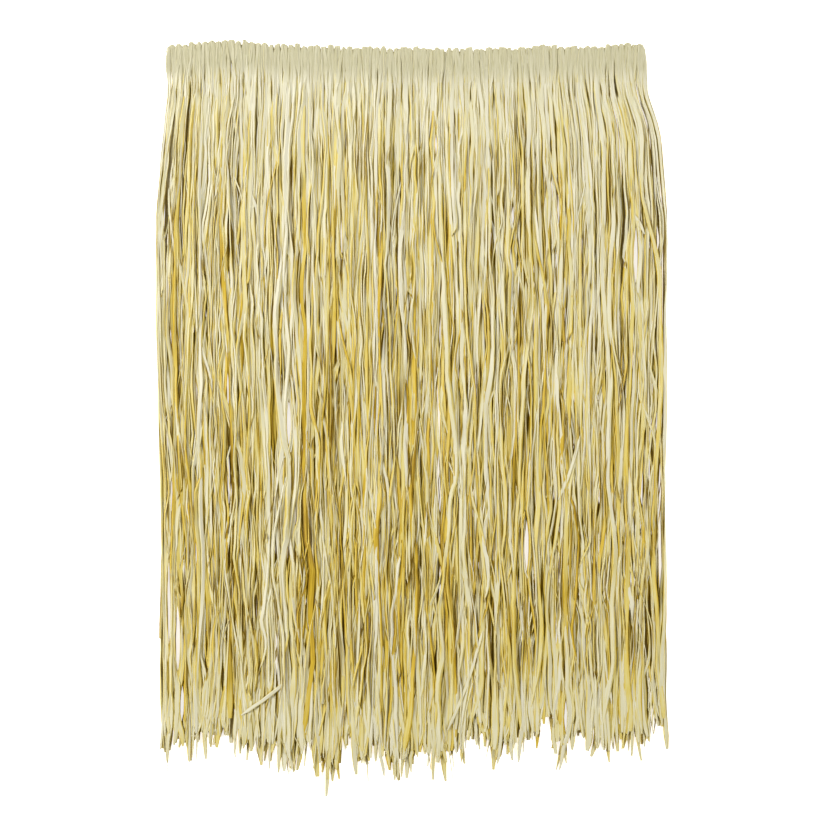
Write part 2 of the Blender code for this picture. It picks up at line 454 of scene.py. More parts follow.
@dataclass
class Pile:
    """A height map of what already lies on the table, on which each new strand comes to rest."""

    outline: LaidOutline
    cell_across: float = 1.0 * MM
    cell_along: float = 3.0 * MM
    margin: float = 30 * MM
    lean_on_highest: float = 0.75
    bridge_rows: int = 3
    stiffness_rows: int = 5
    highest: float = 14.0 * MM
    looseness: float = 1.6
    # Painted contact shade: how far under its neighbours' tops a corner begins to get it, and how much deeper
    # it is full.
    contact_shade_from: float = 1.1 * MM
    contact_shade_depth: float = 2.4 * MM
    spots_across: int = 7
    cells_beside: int = 5

    def __post_init__(self) -> None:
        low, high = cad_box
        self.corner = np.array([low.x - self.margin, low.y - self.margin])
        wide = int((high.x - low.x + 2 * self.margin) / self.cell_across) + 1
        long = int((high.y - low.y + 2 * self.margin) / self.cell_along) + 1
        self.heights = np.zeros((long, wide))
        self.tops: Floats | None = None
        bell = np.arange(-2 * self.stiffness_rows, 2 * self.stiffness_rows + 1)
        bell = np.exp(-0.5 * (bell / self.stiffness_rows) ** 2)
        self.bell = bell / bell.sum()

    def lay(
        self, across: Floats, along: Floats, half_width: Floats, rise: Floats, lean: float | None = None
    ) -> Floats:
        """Lay a strand down, and add it to the map.

        Args:
            across: Its path's places across.
            along: Its path's places along, falling from waist to hem.
            half_width: Half its width at each place.
            rise: How much higher it makes the pile at each place.
            lean: How far it leans on the highest of what is under it, from 0 to 1.

        Returns:
            The height of its underside at each place.
        """
        lean = self.lean_on_highest if lean is None else lean
        first = int((along[-1] - self.corner[1]) / self.cell_along)
        last = int((along[0] - self.corner[1]) / self.cell_along) + 1
        rows = np.arange(first, last + 1)
        centres = self.corner[1] + (rows + 0.5) * self.cell_along
        up = slice(None, None, -1)
        x, wide, tall = (np.interp(centres, along[up], v[up]) for v in (across, half_width, rise))
        spots = x[:, None] + wide[:, None] * np.linspace(-1, 1, self.spots_across)
        columns = ((spots - self.corner[0]) / self.cell_across).astype(int)
        under = self.heights[rows[:, None], columns]
        held = lean * under.max(1) + (1 - lean) * under.mean(1)
        padded = np.pad(held, self.bridge_rows, mode="edge")
        bridged = np.max([padded[i : i + len(held)] for i in range(2 * self.bridge_rows + 1)], axis=0)
        rest = np.convolve(np.pad(bridged, len(self.bell) // 2, mode="edge"), self.bell, mode="valid")
        rest = self.highest * (1 - np.exp(-rest / self.highest))
        crown = rest + tall * self.looseness
        np.maximum.at(self.heights, (rows[:, None], columns), crown[:, None])
        return np.interp(along, centres, rest)

    def open_share(self) -> float:
        """The share of the skirt's middle that nothing covers yet."""
        long, wide = self.heights.shape
        return float((self.heights[long // 4 : -long // 4, wide // 6 : -wide // 6] == 0).mean())

    def contact_shade(self, corners: Floats) -> Floats:
        """How far a strand's corners are tucked under what lies right beside them, from 0 to 1: the strength
        of the painted contact shade laid on them.
        """
        cell = (corners[..., :2] - self.corner) / np.array([self.cell_across, self.cell_along])
        column, row = cell[..., 0].astype(int), cell[..., 1].astype(int)
        beside = np.max([self.heights[row, column + step] for step in (-1, 0, 1)], axis=0)
        return np.clip((beside - corners[..., 2] - self.contact_shade_from) / self.contact_shade_depth, 0.0, 1.0) ** 2

    def depth(self, path: Floats) -> Floats:
        """How far under the pile's top, as seen a few strands around, each point of a path lies."""
        if self.tops is None:
            reach = self.cells_beside
            padded = np.pad(self.heights, ((0, 0), (reach, reach)))
            wide = self.heights.shape[1]
            left = np.max([padded[:, j : j + wide] for j in range(reach + 1)], axis=0)
            right = np.max([padded[:, reach + j : reach + j + wide] for j in range(reach + 1)], axis=0)
            self.tops = np.minimum(left, right)
        cell = (path[:, :2] - self.corner) / np.array([self.cell_across, self.cell_along])
        column, row = cell.astype(int).T
        return self.tops[row, column] - path[:, 2]


# ------------ a strand and its skin

# A strand's section, round from its left edge: places across as shares of half its width, and how
# much yellower its thin edges look than its middle: partly their own colour, partly painted shade on
# the strip's sides and the painted glow of light through its thin edges.
SECTION = np.array([-1.0, -0.62, 0.62, 1.0, 0.62, -0.62])
EDGE_TINT_AND_SHADE = np.array([0.42, 0.0, 0.0, 0.42, 0.0, 0.0])
COLUMNS = len(SECTION)


@dataclass
class Strand:
    """One raffia strip as a path with its width, roll, curl and tone at each ring."""

    PER_RING = ("path", "width", "roll", "curl", "thick", "tone", "pressed")

    path: Floats
    width: Floats
    roll: Floats
    curl: Floats
    thick: Floats
    tone: Floats
    pressed: Floats
    number: float

    def skin(self) -> tuple[Floats, Floats]:
        """Work out the strip's rings.

        Returns:
            The rings' corners, and each corner's fibre coordinates: metres across and along.
        """
        steps = np.gradient(self.path, axis=0)
        forward = steps / np.linalg.norm(steps, axis=1, keepdims=True)
        side = np.array([1.0, 0.0, 0.0]) - forward[:, :1] * forward
        side /= np.linalg.norm(side, axis=1, keepdims=True)
        upper = np.cross(forward, side)
        cos, sin = np.cos(self.roll)[:, None], np.sin(self.roll)[:, None]
        side, upper = cos * side + sin * upper, cos * upper - sin * side
        wide = SECTION[None] * self.width[:, None] / 2
        arch = np.zeros_like(wide)
        arch[:, 1] = self.curl[:, 0] * self.width + self.thick / 2
        arch[:, 2] = self.curl[:, 1] * self.width + self.thick / 2
        arch[:, 4] = self.curl[:, 1] * self.width - self.thick / 2
        arch[:, 5] = self.curl[:, 0] * self.width - self.thick / 2
        rings = self.path[:, None] + side[:, None] * wide[..., None] + upper[:, None] * arch[..., None]
        length = np.concatenate([[0.0], np.cumsum(np.linalg.norm(np.diff(self.path, axis=0), axis=1))])
        fibre = np.stack([wide, np.repeat(length[:, None], COLUMNS, axis=1)], axis=-1)
        return rings, fibre

    def part(self, start: int, end: int) -> "Strand":
        """The stretch of the strand from ring start to ring end."""
        return replace(self, **{name: getattr(self, name)[start:end] for name in self.PER_RING})

    def led_in(self, path: Floats) -> "Strand":
        """The strand with more rings before its first, pressed flat and otherwise like the first."""
        repeats = np.concatenate([np.zeros(len(path), int), np.arange(len(self.path))])
        longer = replace(self, **{name: getattr(self, name)[repeats] for name in self.PER_RING})
        longer.path[: len(path)] = path
        longer.pressed[: len(path)] = 1.0
        return longer


@dataclass
class Sheaf:
    """Many strands joined into one piece of the skirt."""

    name: str
    strands: list[Strand] = field(default_factory=list)
    table_gap: float = 0.1 * MM
    # How much yellower, as painted shade, a strand's tucked corners get.
    contact_shade_tint: float = 0.26
    full_tint_width: float = 2.5 * MM

    def build(self, material: bpy.types.Material, pile: Pile | None = None) -> bpy.types.Object:
        """Build the sheaf's mesh: a closed tube of quads for each strand, with capped ends.

        Args:
            material: What the strands are made of.
            pile: The finished pile; what lies tucked under its neighbours gets a yellower tone as painted
                shade.

        Returns:
            The piece, riding on the skirt's body.
        """
        corners, fibres, tones, pressed, numbers, quads, caps = [], [], [], [], [], [], []
        base = 0
        for strand in self.strands:
            rings, fibre = strand.skin()
            rings[..., 2] = np.maximum(rings[..., 2], self.table_gap)
            count = len(rings)
            corners.append(rings.reshape(-1, 3))
            fibres.append(fibre.reshape(-1, 2))
            full = np.minimum(strand.width / self.full_tint_width, 1.0)[:, None]
            tone = strand.tone[:, None] + EDGE_TINT_AND_SHADE[None] * full
            # Painted shade: a yellower tone on corners tucked under the strands beside them, below the
            # pressed heading.
            if pile is not None:
                loose = 1 - np.minimum(strand.pressed, 1.0)[:, None]
                tone = tone + self.contact_shade_tint * pile.contact_shade(rings) * loose
            tones.append(tone.ravel())
            pressed.append(np.repeat(strand.pressed, COLUMNS))
            numbers.append(np.full(count * COLUMNS, strand.number))
            ring, column = np.meshgrid(np.arange(count - 1), np.arange(COLUMNS), indexing="ij")
            beside = (column + 1) % COLUMNS
            here, ahead = ring * COLUMNS, (ring + 1) * COLUMNS
            quad = np.stack([here + column, ahead + column, ahead + beside, here + beside], axis=-1)
            quads.append(quad.reshape(-1, 4) + base)
            ends = np.arange(COLUMNS)
            caps.append(np.stack([ends, ends[::-1] + (count - 1) * COLUMNS]) + base)
            base += count * COLUMNS
        quads, caps = np.concatenate(quads), np.concatenate(caps)
        around = np.concatenate([quads.ravel(), caps.ravel()])
        sizes = np.concatenate([np.full(len(quads), 4), np.full(len(caps), COLUMNS)])
        starts = np.concatenate([[0], np.cumsum(sizes)[:-1]])

        mesh = bpy.data.meshes.new(self.name)
        mesh.vertices.add(base)
        mesh.vertices.foreach_set("co", np.concatenate(corners).astype(np.float32).ravel())
        mesh.loops.add(len(around))
        mesh.loops.foreach_set("vertex_index", around.astype(np.int32))
        mesh.polygons.add(len(sizes))
        mesh.polygons.foreach_set("loop_start", starts.astype(np.int32))
        mesh.polygons.foreach_set("loop_total", sizes.astype(np.int32))
        mesh.update(calc_edges=True)
        self.crease(mesh, caps)
        fibre_map = mesh.uv_layers.new(name="fibre")
        fibre_map.uv.foreach_set("vector", np.concatenate(fibres)[around].astype(np.float32).ravel())
        add_layer(mesh, "tone", tones)
        add_layer(mesh, "pressed", pressed)
        add_layer(mesh, "strand", numbers)
        mesh.materials.append(material)
        piece = put_in_scene(self.name, mesh)
        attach(piece, BODY)
        return piece

    @staticmethod
    def crease(mesh: bpy.types.Mesh, caps: Floats) -> None:
        """Keep the folds that run down the strips and their cut ends crisp, and the rest smooth."""
        mesh.polygons.foreach_set("use_smooth", np.ones(len(mesh.polygons), bool))
        ends = np.empty(len(mesh.edges) * 2, np.int32)
        mesh.edges.foreach_get("vertices", ends)
        ends = ends.reshape(-1, 2)
        down = ends[:, 0] % COLUMNS == ends[:, 1] % COLUMNS
        at_cap = np.zeros(len(mesh.vertices), bool)
        at_cap[caps.ravel()] = True
        sharp = mesh.attributes.new("sharp_edge", "BOOLEAN", "EDGE")
        sharp.data.foreach_set("value", down | at_cap[ends].all(axis=1))


# ------------ partings and stray strands


@dataclass(frozen=True)
class Parting:
    """A slit where the strands of both halves have slid apart, measured from the waist's middle."""

    across: float
    from_drop: float
    to_drop: float
    width: float


PARTINGS = (
    Parting(across=0.2447, from_drop=0.190, to_drop=0.256, width=0.0050),
    Parting(across=-0.1255, from_drop=0.376, to_drop=0.428, width=0.0042),
    Parting(across=0.1282, from_drop=0.498, to_drop=0.560, width=0.0046),
    Parting(across=0.1135, from_drop=0.163, to_drop=0.187, width=0.0030),
    Parting(across=0.0314, from_drop=0.086, to_drop=0.114, width=0.0026),
    Parting(across=-0.2440, from_drop=0.590, to_drop=0.676, width=0.0048),
    Parting(across=-0.2535, from_drop=0.540, to_drop=0.655, width=0.0028),
    Parting(across=-0.2400, from_drop=0.678, to_drop=0.728, width=0.0040),
    Parting(across=0.1700, from_drop=0.690, to_drop=0.735, width=0.0034),
)


@dataclass(frozen=True)
class Stray:
    """A strand that lies loose across the others, measured from the waist's middle."""

    from_across: float
    from_drop: float
    to_across: float
    to_drop: float
    width: float
    bow: float
    tone: float


STRAYS = (
    Stray(-0.1270, 0.675, -0.1765, 0.712, 0.0040, 0.0015, 0.00),
    Stray(0.0810, 0.622, 0.0440, 0.728, 0.0034, 0.0030, 0.10),
    Stray(0.1850, 0.414, 0.1620, 0.482, 0.0036, 0.0020, 0.05),
    Stray(0.2380, 0.172, 0.2540, 0.199, 0.0038, 0.0012, 0.05),
    Stray(-0.2540, 0.150, -0.2440, 0.236, 0.0022, -0.0020, 0.10),
    Stray(-0.0900, 0.520, -0.0760, 0.640, 0.0024, 0.0030, 0.16),
    Stray(0.2050, 0.560, 0.2190, 0.700, 0.0030, -0.0030, 0.08),
    Stray(-0.2575, 0.0015, -0.2500, 0.0260, 0.0022, 0.0008, 0.05),
)


# ------------ growing strands


@dataclass(frozen=True)
class PlyStyle:
    """How one ply of strands hangs: the outer plies cover the skirt, the inner ones fill it out."""

    per_loop: float
    width: float
    width_spread: float
    tone: float
    tone_spread: float
    ring_step: float
    clump_spacing: float
    clump_pull: float
    clump_sway: float
    strays_off: float
    sway: float
    hem_short: float
    hem_spread: float
    seed: int


@dataclass
class Grower:
    """Makes the strands of one ply of one half, and lays them on the pile.

    A drop's Span is where, down the skirt, something starts and is complete. A left's Span is the same
    measured back from the strand's tip. A Waver is how far apart a curve's turns are and how strong.
    """

    outline: LaidOutline
    pile: Pile
    style: PlyStyle
    half: Half
    outer: bool

    # The heading's loops, and how the strands stand in them.
    fold_radius: float = 2.2 * MM
    fold_angles: tuple[float, float, float] = (-90, 61, 30)
    fold_join: float = 0.35
    inner_fold: float = 0.55
    tuck: float = 13 * MM
    back_lower: float = 1.6 * MM
    inner_lower: float = 2.5 * MM
    loop_fall: Span = (0.4 * MM, 4.2 * MM)
    loop_shift: float = 0.12
    loop_spread: float = 0.5 * MM
    loop_drop: Span = (2 * MM, 10 * MM)
    loop_narrower: float = 0.70
    gather_drop: Span = (1 * MM, 11 * MM)
    gather: float = 0.28
    band_spread: Span = (-0.45 * MM, 0.15 * MM)
    place_spread: Span = (0.15, 0.85)
    inset: float = 0.025
    overhang: float = 0.002

    # Rings and the course they lie on.
    band_step: float = 5.0 * MM
    closest_rings: float = 0.4
    course_step: float = 4 * MM
    longest: float = 0.9
    sway_step: float = 5 * MM

    # Widths and thickness.
    packed_width: float = 3.9 * MM
    packed_spread: Span = (0.8, 1.25)
    spread_drop: Span = (18 * MM, 62 * MM)
    narrow_share: float = 0.14
    narrow: Span = (0.8 * MM, 1.3 * MM)
    wide_share: float = 0.06
    wide: Span = (4.2 * MM, 5.8 * MM)
    width_limits: Span = (0.7 * MM, 6.0 * MM)
    width_waver: Waver = (55 * MM, 0.14)
    width_clip: Span = (0.6, 1.5)
    packed_waver: Waver = (10 * MM, 0.14)
    packed_drop: Span = (25 * MM, 60 * MM)
    thickness: float = 0.36 * MM
    thickness_spread: Span = (0.8, 1.3)
    plump: float = 0.75 * MM
    plump_drop: Span = (18 * MM, 50 * MM)
    thickest: float = 0.8

    # How high it lies: pressed flat in the heading, and flatter again towards the tip.
    edge_on: float = 0.35
    rolled_rise: float = 0.25
    flat_tip: float = 0.35
    flat_left: Span = (0.0, 150 * MM)
    held_drop: Span = (22 * MM, 64 * MM)
    pressed_drop: Span = (20 * MM, 42 * MM)
    pattern_places: float = 50

    # The tip.
    spike_share: float = 0.08
    outer_spike: Span = (-14 * MM, 3 * MM)
    inner_spike: Span = (-3 * MM, 3 * MM)
    broken_share: float = 0.09
    broken: Span = (20 * MM, 110 * MM)
    splay: float = 3.5 * MM
    splay_reach: float = 80 * MM
    tip_wider: float = 0.28
    tip_left: Span = (40 * MM, 150 * MM)
    taper: Span = (6 * MM, 30 * MM)
    taper_bend: Span = (0.5, 0.9)
    blunt: Span = (0.20, 0.60)

    # The way across: held at the heading, free below it.
    free_drop: Span = (22 * MM, 110 * MM)
    low_drop: Span = (50 * MM, 420 * MM)
    lowest_drop: Span = (350 * MM, 650 * MM)
    sway_shares: tuple[float, float, float] = (0.35, 0.65, 0.55)
    clump_spread: Span = (-0.3, 0.3)
    clump_run: Span = (60 * MM, 110 * MM)
    clump_pull_spread: Span = (0.2, 1.3)
    stray_drop: Span = (60 * MM, 600 * MM)
    stray_run: Span = (50 * MM, 160 * MM)
    slow_run: Span = (120 * MM, 240 * MM)
    sharp_run: Span = (60 * MM, 130 * MM)
    lean: float = 4.0 * MM
    lean_drop: Span = (80 * MM, 700 * MM)
    kink_run: Span = (14 * MM, 30 * MM)
    kink_size: Span = (0.3 * MM, 0.9 * MM)
    kink_held: float = 0.15
    bent_share: float = 0.3
    bends: Waver = (45 * MM, 2.2 * MM)
    slant: float = 0.05
    slant_reach: float = 60 * MM
    slant_waver: Waver = (14 * MM, 0.4 * MM)
    edge_room: float = 1.5 * MM
    edge_push: float = 0.75
    edge_drop: Span = (20 * MM, 60 * MM)
    parting_end: float = 40 * MM
    parting_edge: float = 3.0

    # Rolls, curls and tones.
    roll_drop: Span = (18 * MM, 120 * MM)
    roll_spread: float = 0.30
    roll_run: Span = (35 * MM, 90 * MM)
    roll_size: float = 0.45
    calm_left: Span = (15 * MM, 110 * MM)
    calm_roll: float = 0.35
    twist_share: float = 0.30
    twist_from: float = 90 * MM
    twist_left: float = 60 * MM
    twist_room: float = 10 * MM
    twist_run: Span = (16 * MM, 40 * MM)
    packed_roll: float = 0.14
    packed_roll_waver: Waver = (9 * MM, 0.20)
    curl_drop: Span = (16 * MM, 48 * MM)
    curl_base: tuple[float, float] = (0.06, 0.15)
    curl_run: Span = (25 * MM, 70 * MM)
    curl_size: float = 0.12
    curl_limits: Span = (-0.30, 0.38)
    calm_curl: float = 0.5
    packed_curl: float = 0.10
    apart_drop: Span = (30 * MM, 230 * MM)
    alike: float = 0.5
    tone_waver: Waver = (120 * MM, 0.06)
    low_tone: float = 0.10
    low_tone_drop: Span = (120 * MM, 560 * MM)
    pale_left: Span = (130 * MM, 25 * MM)
    pale_share: float = 0.35
    pale_tone: float = 0.20

    def __post_init__(self) -> None:
        self.rng = rng = np.random.default_rng(self.style.seed)
        count = int((self.outline.right_end - self.outline.left_end) / self.style.clump_spacing) + 3
        self.clumps = np.sort((np.arange(count) + rng.uniform(*self.clump_spread, count)) / (count - 1))
        self.drops = np.arange(0.0, self.longest, self.sway_step)
        self.loop_falls = rng.uniform(*self.loop_fall, self.outline.loops)
        self.loop_shifts = rng.normal(0.0, self.loop_shift, self.outline.loops)
        self.clump_sways = [
            crinkle(rng, self.drops, rng.uniform(*self.clump_run), self.style.clump_sway) for _ in self.clumps
        ]

    def all_strands(self) -> list[tuple[Strand, int]]:
        """Grow the whole ply.

        Returns:
            The strands, each with the number of the ring where it leaves the heading.
        """
        rng = self.rng
        total = int(round(self.style.per_loop * self.outline.loops))
        places = (np.arange(total) + rng.uniform(*self.place_spread, total)) / total
        inset = -self.overhang if self.outer else self.inset
        places = inset + (1 - 2 * inset) * places
        return [self.strand(float(places[i])) for i in rng.permutation(total)]

    def strand(self, lane: float) -> tuple[Strand, int]:
        """Grow one strand and lay it on the pile.

        Args:
            lane: Its place across, from 0 at the left edge to 1 at the right.

        Returns:
            The strand, and the number of the ring where it leaves the heading.
        """
        rng, outline = self.rng, self.outline
        loop = min(max(int(lane * outline.loops), 0), outline.loops - 1)
        in_loop = lane * outline.loops - loop - 0.5
        top = float(outline.loop_top[loop]) - (0.0 if self.half is Half.FRONT else self.back_lower)
        off_crown = 2 * in_loop - self.loop_shifts[loop]
        top -= self.loop_falls[loop] * off_crown**2 + abs(rng.normal(0.0, self.loop_spread))

        # Its course across, down past the longest points, and then where it ends on that course.
        start = top - (0.0 if self.outer else self.inner_lower)
        leave = outline.sewn_line
        course = np.arange(start, outline.tips[:, 1].min() - self.course_step, -self.course_step)
        swung = self.places_across(lane, in_loop, course, top - course, start - course)
        bottom = self.tip_height(course, swung)

        # Rings: close ones in the heading, then even steps to the tip.
        band = np.arange(start, leave, -self.band_step)
        steps = max(int((leave - bottom) / self.style.ring_step), 4)
        if len(band) and band[-1] - leave < self.closest_rings * self.band_step:
            band = band[:-1]
        along = np.concatenate([band, np.linspace(leave, bottom, steps + 1)])
        sewn_ring = len(band)
        drop = top - along
        length = drop - drop[0]
        left = length[-1] - length

        width = self.widths(drop, length)
        across = np.interp(along, course[::-1], swung[::-1])
        splay = rng.normal(0.0, self.splay) * np.clip(1 - left / self.splay_reach, 0.0, 1.0) ** 2
        across = self.parted(across + splay, drop, width)
        roll = self.rolls(drop, length)
        curl = self.curls(drop, length)
        thick = self.thickness * rng.uniform(*self.thickness_spread)
        thick = thick + self.plump * (1 - smooth_step(drop, *self.plump_drop))
        thick = np.minimum(thick, width * self.thickest)
        tone = self.tones(drop, length)

        seen_width = width * raised(np.abs(np.cos(roll)), self.edge_on)
        rise = thick + width * (np.abs(curl).max(1) / 2 + self.rolled_rise * np.abs(np.sin(roll)))
        flatter = raised(smooth_step(left, *self.flat_left), self.flat_tip)
        rest = self.pile.lay(across, along, seen_width / 2, rise * flatter)
        held = 1 - smooth_step(drop, *self.held_drop)
        height = (rest + rise / 2) * (1 - held) + self.band_height() * held
        path = np.stack([across, along, height], axis=1)
        pressed = 1 - smooth_step(drop, *self.pressed_drop)
        number = float(rng.random() * self.pattern_places)
        strand = Strand(path, width, roll, curl, thick, tone, pressed, number)
        if self.outer:
            strand, added = self.folded_over(strand, top)
            sewn_ring += added
        return strand, sewn_ring

    def tip_height(self, course: Floats, across: Floats) -> float:
        """Where a strand ends: with its bundle at the hem, or now and then well short of it."""
        rng = self.rng
        low = int(np.searchsorted(-course, -self.outline.hem(float(across[-1]))))
        hem = self.outline.hem(float(across[min(low, len(across) - 1)]))
        short = self.style.hem_short + abs(rng.normal(0.0, self.style.hem_spread))
        chance = rng.random()
        if chance < self.spike_share:
            short = rng.uniform(*(self.outer_spike if self.outer else self.inner_spike))
        elif chance < self.spike_share + self.broken_share:
            short += rng.uniform(*self.broken)
        return hem + short

    def band_height(self) -> float:
        """The height of a strand in the flat heading."""
        offset = self.fold_radius * (1 if self.outer else self.inner_fold)
        offset += self.rng.uniform(*self.band_spread)
        return self.outline.fold_height[self.half] + self.half.value * offset

    def widths(self, drop: Floats, length: Floats) -> Floats:
        """A strand's width down its length: packed in the heading, full below, pointed at the tip."""
        rng, style = self.rng, self.style
        full = style.width * math.exp(rng.normal(0.0, style.width_spread))
        kind = rng.random()
        if kind < self.narrow_share:
            full = rng.uniform(*self.narrow)
        elif kind > 1 - self.wide_share:
            full = rng.uniform(*self.wide)
        narrowest, widest = self.width_limits
        full = min(max(full, narrowest), widest)
        packed = self.packed_width * rng.uniform(*self.packed_spread)
        width = packed + (full - packed) * smooth_step(drop, *self.spread_drop)
        width *= raised(smooth_step(drop, *self.loop_drop), self.loop_narrower)
        width *= np.clip(1 + wander(rng, length, *self.width_waver), *self.width_clip)
        width *= 1 + wander(rng, length, *self.packed_waver) * (1 - smooth_step(drop, *self.packed_drop))
        left = length[-1] - length
        width *= 1 + self.tip_wider * (1 - smooth_step(left, *self.tip_left))
        point = np.clip(left / rng.uniform(*self.taper), 0.0, 1.0) ** rng.uniform(*self.taper_bend)
        return np.maximum(width * raised(point, rng.uniform(*self.blunt)), narrowest)

    def places_across(
        self, lane: float, in_loop: float, along: Floats, drop: Floats, length: Floats
    ) -> Floats:
        """Work out a strand's way across: its lane, the clump that it joins, its sway and its crinkles.

        Args:
            lane: Its place across, from 0 at the left edge to 1 at the right.
            in_loop: Its place in its loop, from -0.5 to 0.5.
            along: Its places along, falling from waist to hem.
            drop: How far each lies below the top of its loop.
            length: How far each lies down the strand.

        Returns:
            Its places across.
        """
        rng, style, outline = self.rng, self.style, self.outline
        free, low, lowest = (
            smooth_step(drop, *span) for span in (self.free_drop, self.low_drop, self.lowest_drop)
        )
        across = outline.across(lane, along)
        across = across - in_loop * outline.pitch * self.gather * (1 - smooth_step(drop, *self.gather_drop))

        # The clump it hangs in, and now and then the next one, where it crosses over.
        home = int(np.argmin(np.abs(self.clumps - lane)))
        pull = style.clump_pull * rng.uniform(*self.clump_pull_spread) * low
        joined = self.clump_path(home, along, drop)
        if rng.random() < style.strays_off:
            other = min(max(home + (1 if rng.random() < 0.5 else -1), 0), len(self.clumps) - 1)
            leaves = rng.uniform(*self.stray_drop)
            share = smooth_step(drop, leaves, leaves + rng.uniform(*self.stray_run))
            next_to = outline.across(float(self.clumps[other]), along)
            next_to = next_to - outline.across(float(self.clumps[home]), along)
            joined = joined * (1 - share) + self.clump_path(other, along, drop) * share
            across = across + next_to * share
        across = across + (joined - across) * pull
        across = across + np.interp(drop, self.drops, self.clump_sways[home]) * free * (1 - pull)

        # Its own sway, lean and kinks.
        sway = wander(rng, length, rng.uniform(*self.slow_run), style.sway)
        sway += crinkle(rng, length, rng.uniform(*self.sharp_run), style.sway)
        swaying = sum(share * amount for share, amount in zip(self.sway_shares, (free, low, lowest)))
        lean = rng.normal(0.0, self.lean) * smooth_step(drop, *self.lean_drop)
        across = across + (sway - sway[0]) * swaying + lean
        turns = crinkle(rng, length, rng.uniform(*self.kink_run), rng.uniform(*self.kink_size))
        if rng.random() < self.bent_share:
            turns += crinkle(rng, length, *self.bends) * low
        slant = rng.normal(0.0, self.slant) * np.minimum(length, self.slant_reach)
        slant += wander(rng, length, *self.slant_waver)
        across = across + turns * raised(free, self.kink_held) + slant * (1 - low)

        # It turns back where it would swing out past the skirt's edges.
        for edge, way in ((0.0, -1), (1.0, 1)):
            beyond = np.clip(way * (across - outline.across(edge, along)) + self.edge_room, 0.0, None)
            across = across - way * self.edge_push * beyond * smooth_step(drop, *self.edge_drop)
        return across

    def clump_path(self, clump: int, along: Floats, drop: Floats) -> Floats:
        """A clump's places across, with the sway that its strands share."""
        sway = np.interp(drop, self.drops, self.clump_sways[clump])
        return self.outline.across(float(self.clumps[clump]), along) + sway

    def parted(self, across: Floats, drop: Floats, width: Floats) -> Floats:
        """Push a strand out of the partings it would cross."""
        for gap in PARTINGS:
            run = gap.to_drop - gap.from_drop
            share = (drop - gap.from_drop) / run
            ends = 1 + self.parting_end / run
            open_here = np.clip(1 - (2 * np.abs(share - 0.5)) ** 2 / ends, 0.0, 1.0)
            room = (gap.width + width) * 0.5 * open_here
            away = across - (self.outline.middle + gap.across)
            side = 1.0 if np.interp(0.5, share, away) >= 0 else -1.0
            push = np.clip(room - side * away, 0.0, None) * np.minimum(open_here * self.parting_edge, 1.0)
            across = across + side * push
        return across

    def rolls(self, drop: Floats, length: Floats) -> Floats:
        """How far the strip is turned about its own length, with a full twist now and then."""
        rng = self.rng
        free = smooth_step(drop, *self.roll_drop)
        roll = rng.normal(0.0, self.roll_spread)
        roll = roll + wander(rng, length, rng.uniform(*self.roll_run), self.roll_size)
        roll = roll * raised(smooth_step(length[-1] - length, *self.calm_left), self.calm_roll)
        if rng.random() < self.twist_share:
            lowest = max(length[-1] - self.twist_left, self.twist_from + self.twist_room)
            where = rng.uniform(self.twist_from, lowest)
            run = rng.uniform(*self.twist_run)
            way = 1 if rng.random() < 0.5 else -1
            roll = roll + way * math.pi * smooth_step(length, where, where + run)
        packed = rng.normal(0.0, self.packed_roll) + wander(rng, length, *self.packed_roll_waver)
        return roll * free + packed * (1 - free)

    def curls(self, drop: Floats, length: Floats) -> Floats:
        """The heights of the strip's two middle folds over its edges, as shares of its width."""
        rng = self.rng
        free = smooth_step(drop, *self.curl_drop)[:, None]
        base = rng.normal(*self.curl_base, 2)
        moving = [wander(rng, length, rng.uniform(*self.curl_run), self.curl_size) for _ in range(2)]
        loose = np.clip(base + np.stack(moving, axis=1), *self.curl_limits)
        loose = loose * raised(smooth_step(length[-1] - length, *self.calm_left), self.calm_curl)[:, None]
        return loose * free + self.packed_curl * (1 - free)

    def tones(self, drop: Floats, length: Floats) -> Floats:
        """The strip's colour down its length, from 0, bleached, to 1, amber."""
        rng, style = self.rng, self.style
        # Just below the heading the sun reached them all alike.
        apart = raised(smooth_step(drop, *self.apart_drop), self.alike)
        tone = (style.tone + rng.normal(0.0, style.tone_spread)) * apart
        tone = tone + wander(rng, length, *self.tone_waver)
        tone = tone + self.low_tone * smooth_step(drop, *self.low_tone_drop)
        from_left, to_left = self.pale_left
        pale = self.pale_share * smooth_step(length, length[-1] - from_left, length[-1] - to_left)
        return tone * (1 - pale) + self.pale_tone * pale

    def folded_over(self, strand: Strand, top: float) -> tuple[Strand, int]:
        """Carry a strand's upper end over the waist cord and down inside the heading.

        Args:
            strand: The strand from its loop to its tip.
            top: The top of its loop.

        Returns:
            The strand with its fold, and how many rings were added at its start.
        """
        middle, out, radius = self.outline.fold_height[self.half], self.half.value, self.fold_radius
        centre = top - radius
        points = [(centre - self.tuck, -radius), (centre - self.tuck / 2, -radius)]
        for turn in np.radians(np.arange(*self.fold_angles)):
            points.append((centre + radius * math.cos(turn), radius * math.sin(turn)))
        fold = np.array([(strand.path[0, 0], y, middle + out * z) for y, z in points])
        first = int(np.argmax(strand.path[:, 1] < centre + radius * self.fold_join))
        return strand.part(first, len(strand.path)).led_in(fold), len(fold) - first


# ------------ the waist cord


